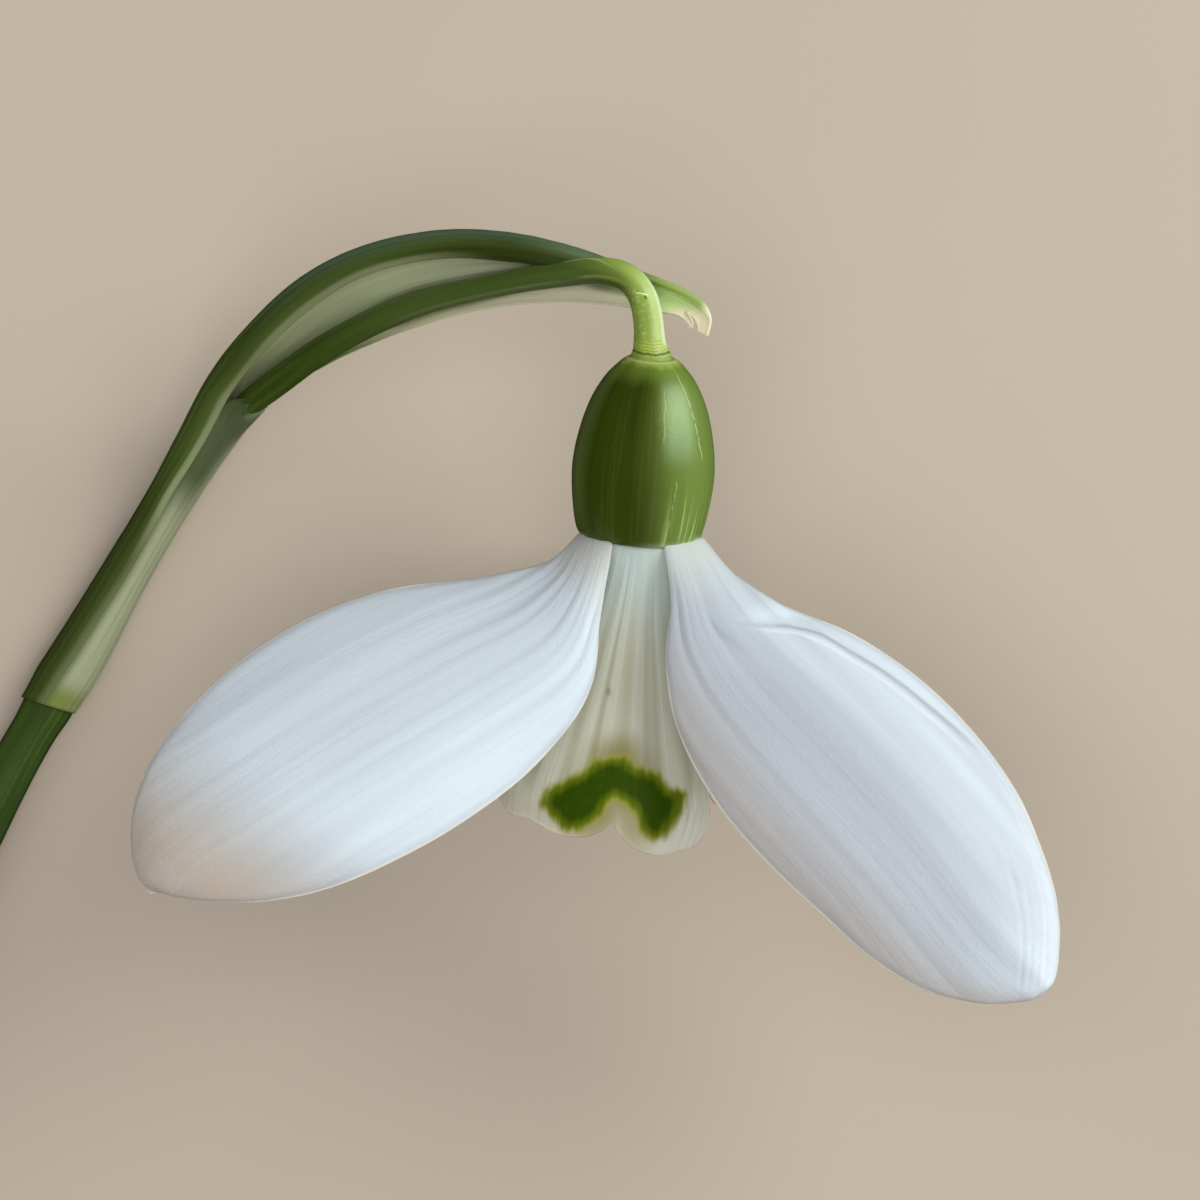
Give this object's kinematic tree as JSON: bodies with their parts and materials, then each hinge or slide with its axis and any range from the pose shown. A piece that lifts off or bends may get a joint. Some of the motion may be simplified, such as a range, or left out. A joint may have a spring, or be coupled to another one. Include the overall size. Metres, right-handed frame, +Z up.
{
  "type": "snowdrop flower",
  "caption": "Picked nodding spring flower lying down, with spreading white outer tepals, a notched inner cup with a green mark, an egg-shaped green ovary, an arching stalk and a forked spathe.",
  "frame": {"origin": "on the surface that the flower lies on, under the middle of its bounding box", "axes": "+Z up from the surface, +X to the flower's right in the picture, +Y from the flower's mouth towards its ovary"},
  "size_m": [0.0576, 0.0476, 0.0229],
  "materials": {
    "outer_tepal": "satin",
    "inner_tepal": "satin",
    "ovary": "satin",
    "pedicel": "satin",
    "scape": "satin",
    "spathe": "satin",
    "stamens": "matte",
    "style": "satin"
  },
  "bodies": {
    "root": {"ovary": "ovary", "outer_tepal_left": "outer_tepal", "outer_tepal_right": "outer_tepal", "outer_tepal_back": "outer_tepal", "inner_tepal_front": "inner_tepal", "inner_tepal_left": "inner_tepal", "inner_tepal_right": "inner_tepal", "stamens": "stamens", "style": "style", "pedicel": "pedicel", "scape": "scape", "spathe": "spathe"}
  },
  "joints": []
}
